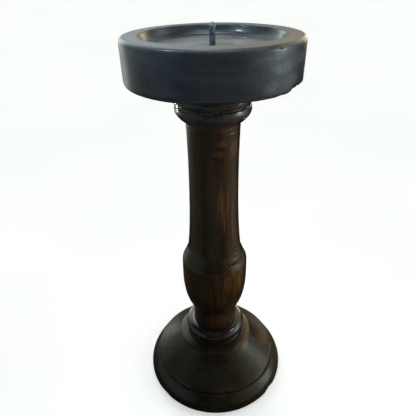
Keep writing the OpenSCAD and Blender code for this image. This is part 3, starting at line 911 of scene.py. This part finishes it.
def make_floor():
    """Pale floor that curves up into a round wall. It only shows and takes shadows, and throws no light
    back."""
    flat_r, wall_r, wall_h = 6.0, 10.0, 12.0
    bend_r = wall_r - flat_r
    count = 64
    outline = [[flat_r, 0.0]] + arc([flat_r, bend_r], bend_r, -80, 0, 8) + [[wall_r, wall_h]]
    points = [point for radius, height in outline for point in circle(radius, height, count)]
    faces = [list(range(count))]
    for row in range(len(outline) - 1):
        for i in range(count):
            k = (i + 1) % count
            faces.append([row * count + i, row * count + k, (row + 1) * count + k, (row + 1) * count + i])
    mesh = bpy.data.meshes.new("floor")
    mesh.from_pydata(points, [], faces)
    mesh.polygons.foreach_set("use_smooth", [False] + [True] * (len(faces) - 1))
    mesh.materials.append(pale_floor("floor"))
    floor = bpy.data.objects.new("floor", mesh)
    floor.visible_diffuse = False
    floor.visible_glossy = False
    floor.visible_shadow = False
    bpy.context.scene.collection.objects.link(floor)


def make_shade_card():
    """Dark disc just under the floor that only reflections see: painted shade, which darkens what the lower
    pieces reflect of the ground close to the base.
    """
    card_r, card_z = 0.16, -0.001
    points = circle(card_r, card_z, 48)
    mesh = bpy.data.meshes.new("shade_card")
    mesh.from_pydata(points, [], [list(range(len(points)))])
    material, _, shader = new_material("shade_card")
    shader.inputs["Base Color"].default_value = (0.020, 0.012, 0.006, 1)
    shader.inputs["Roughness"].default_value = 0.8
    mesh.materials.append(material)
    card = bpy.data.objects.new("shade_card", mesh)
    card.visible_camera = False
    card.visible_shadow = False
    bpy.context.scene.collection.objects.link(card)


def area_light(name, place, aim_z, size, spread, power, colour):
    """A small square soft box at place that looks at the axis at height aim_z, and spreads over so many
    degrees."""
    data = bpy.data.lights.new(name, "AREA")
    data.size = size
    data.spread = math.radians(spread)
    data.energy = power
    data.color = colour
    light = bpy.data.objects.new(name, data)
    light.location = place
    light.rotation_euler = (Vector(place) - Vector((0, 0, aim_z))).to_track_quat("Z", "Y").to_euler()
    light.visible_camera = False
    bpy.context.scene.collection.objects.link(light)


def glow(tree, direction, bearing, elevation, width, colour):
    """Soft round patch of light in the surroundings, as a colour that fades out at its width in degrees."""
    b, e = math.radians(bearing), math.radians(elevation)
    centre = (math.sin(b) * math.cos(e), -math.cos(b) * math.cos(e), math.sin(e))
    near = add(tree, "VectorMath", {0: direction, 1: centre}, operation="DOT_PRODUCT").outputs["Value"]
    inputs = {"Value": near, "From Min": math.cos(math.radians(width)), "From Max": 1.0}
    share = add(tree, "MapRange", inputs, interpolation_type="SMOOTHSTEP").outputs["Result"]
    return blended(tree, share, (0, 0, 0), colour)


def make_world(glows):
    """Dark surroundings with patches of light."""
    world = bpy.data.worlds.new("world")
    bpy.context.scene.world = world
    world.use_nodes = True
    tree = world.node_tree
    direction = add(tree, "TexCoord").outputs["Generated"]
    total = (0.0, 0.0, 0.0)
    for bearing, elevation, width, colour in glows:
        total = blended(tree, 1.0, total, glow(tree, direction, bearing, elevation, width, colour), "ADD")
    tree.links.new(total, tree.nodes["Background"].inputs["Color"])


def make_camera():
    """Camera at the height and distance that give the real holder's perspective."""
    place = (0, -0.2262, 0.2883)
    pitch, yaw, roll = (math.radians(a) for a in (31.29, -1.02, -1.08))
    forward = Vector((math.sin(yaw) * math.cos(pitch), math.cos(yaw) * math.cos(pitch), -math.sin(pitch)))
    level = forward.cross(Vector((0, 0, 1))).normalized()
    upright = level.cross(forward)
    right = math.cos(roll) * level + math.sin(roll) * upright
    up = -math.sin(roll) * level + math.cos(roll) * upright
    data = bpy.data.cameras.new("camera")
    data.lens = 34.2
    data.sensor_width = 36
    data.clip_start = 0.01
    camera = bpy.data.objects.new("camera", data)
    turn = Matrix((right, up, -forward)).transposed()
    camera.matrix_world = Matrix.Translation(place) @ turn.to_4x4()
    bpy.context.scene.collection.objects.link(camera)
    bpy.context.scene.camera = camera


bpy.context.scene.view_settings.view_transform = "Standard"
make_floor()
make_shade_card()
# Each patch of light is (bearing, elevation, width, colour). The strengths and colours of these and of the
# soft boxes below were fitted to the photograph's tones, and then rounded.
make_world([
    (-90, -25, 40, (0.16, 0.14, 0.10)),
    (0, -25, 40, (0.23, 0.28, 0.34)),
    (90, -25, 40, (0.48, 0.31, 0.28)),
    (0, -90, 40, (2.0, 2.0, 1.95)),
    (-150, 32, 40, (1.5, 1.7, 1.75)),
    (150, 32, 40, (1.15, 1.05, 0.85)),
    (-120, 5, 40, (0.30, 0.35, 0.38)),
    (-60, 5, 40, (0.29, 0.41, 0.57)),
    (60, 5, 40, (0.55, 0.49, 0.49)),
    (90, 5, 40, (0.32, 0.55, 0.66)),
    (100, 25, 16, (2.1, 2.1, 2.0)),
    (-150, 5, 16, (2.2, 2.4, 1.9)),
    (150, 5, 16, (4.1, 3.5, 2.2)),
    (85, 5, 16, (2.5, 3.5, 3.2)),
    (0, 60, 40, (0.14, 0.15, 0.15)),
    (-140, -10, 18, (0.9, 0.95, 0.9)),
    (-168, 50, 14, (3.0, 3.3, 3.4)),
])
rim_z = RIM_Z * MM
area_light("capital", (-0.18, 0.115, 0.222), 0.221, 0.03, 8, 0.005, (0.9, 1.0, 0.97))
area_light("well_left", (-0.139, -0.083, 0.413), rim_z, 0.03, 40, 0.020, (0.57, 0.86, 1.0))
area_light("well_right", (0.05, -0.12, 0.42), rim_z, 0.08, 40, 0.009, (0.67, 0.78, 1.0))
area_light("well_top", (0, -0.02, 0.45), rim_z, 0.10, 40, 0.032, (0.94, 0.97, 1.0))
area_light("right", (0.22, -0.05, 0.25), 0.12, 0.06, 180, 0.095, (0.73, 0.96, 1.0))
make_camera()
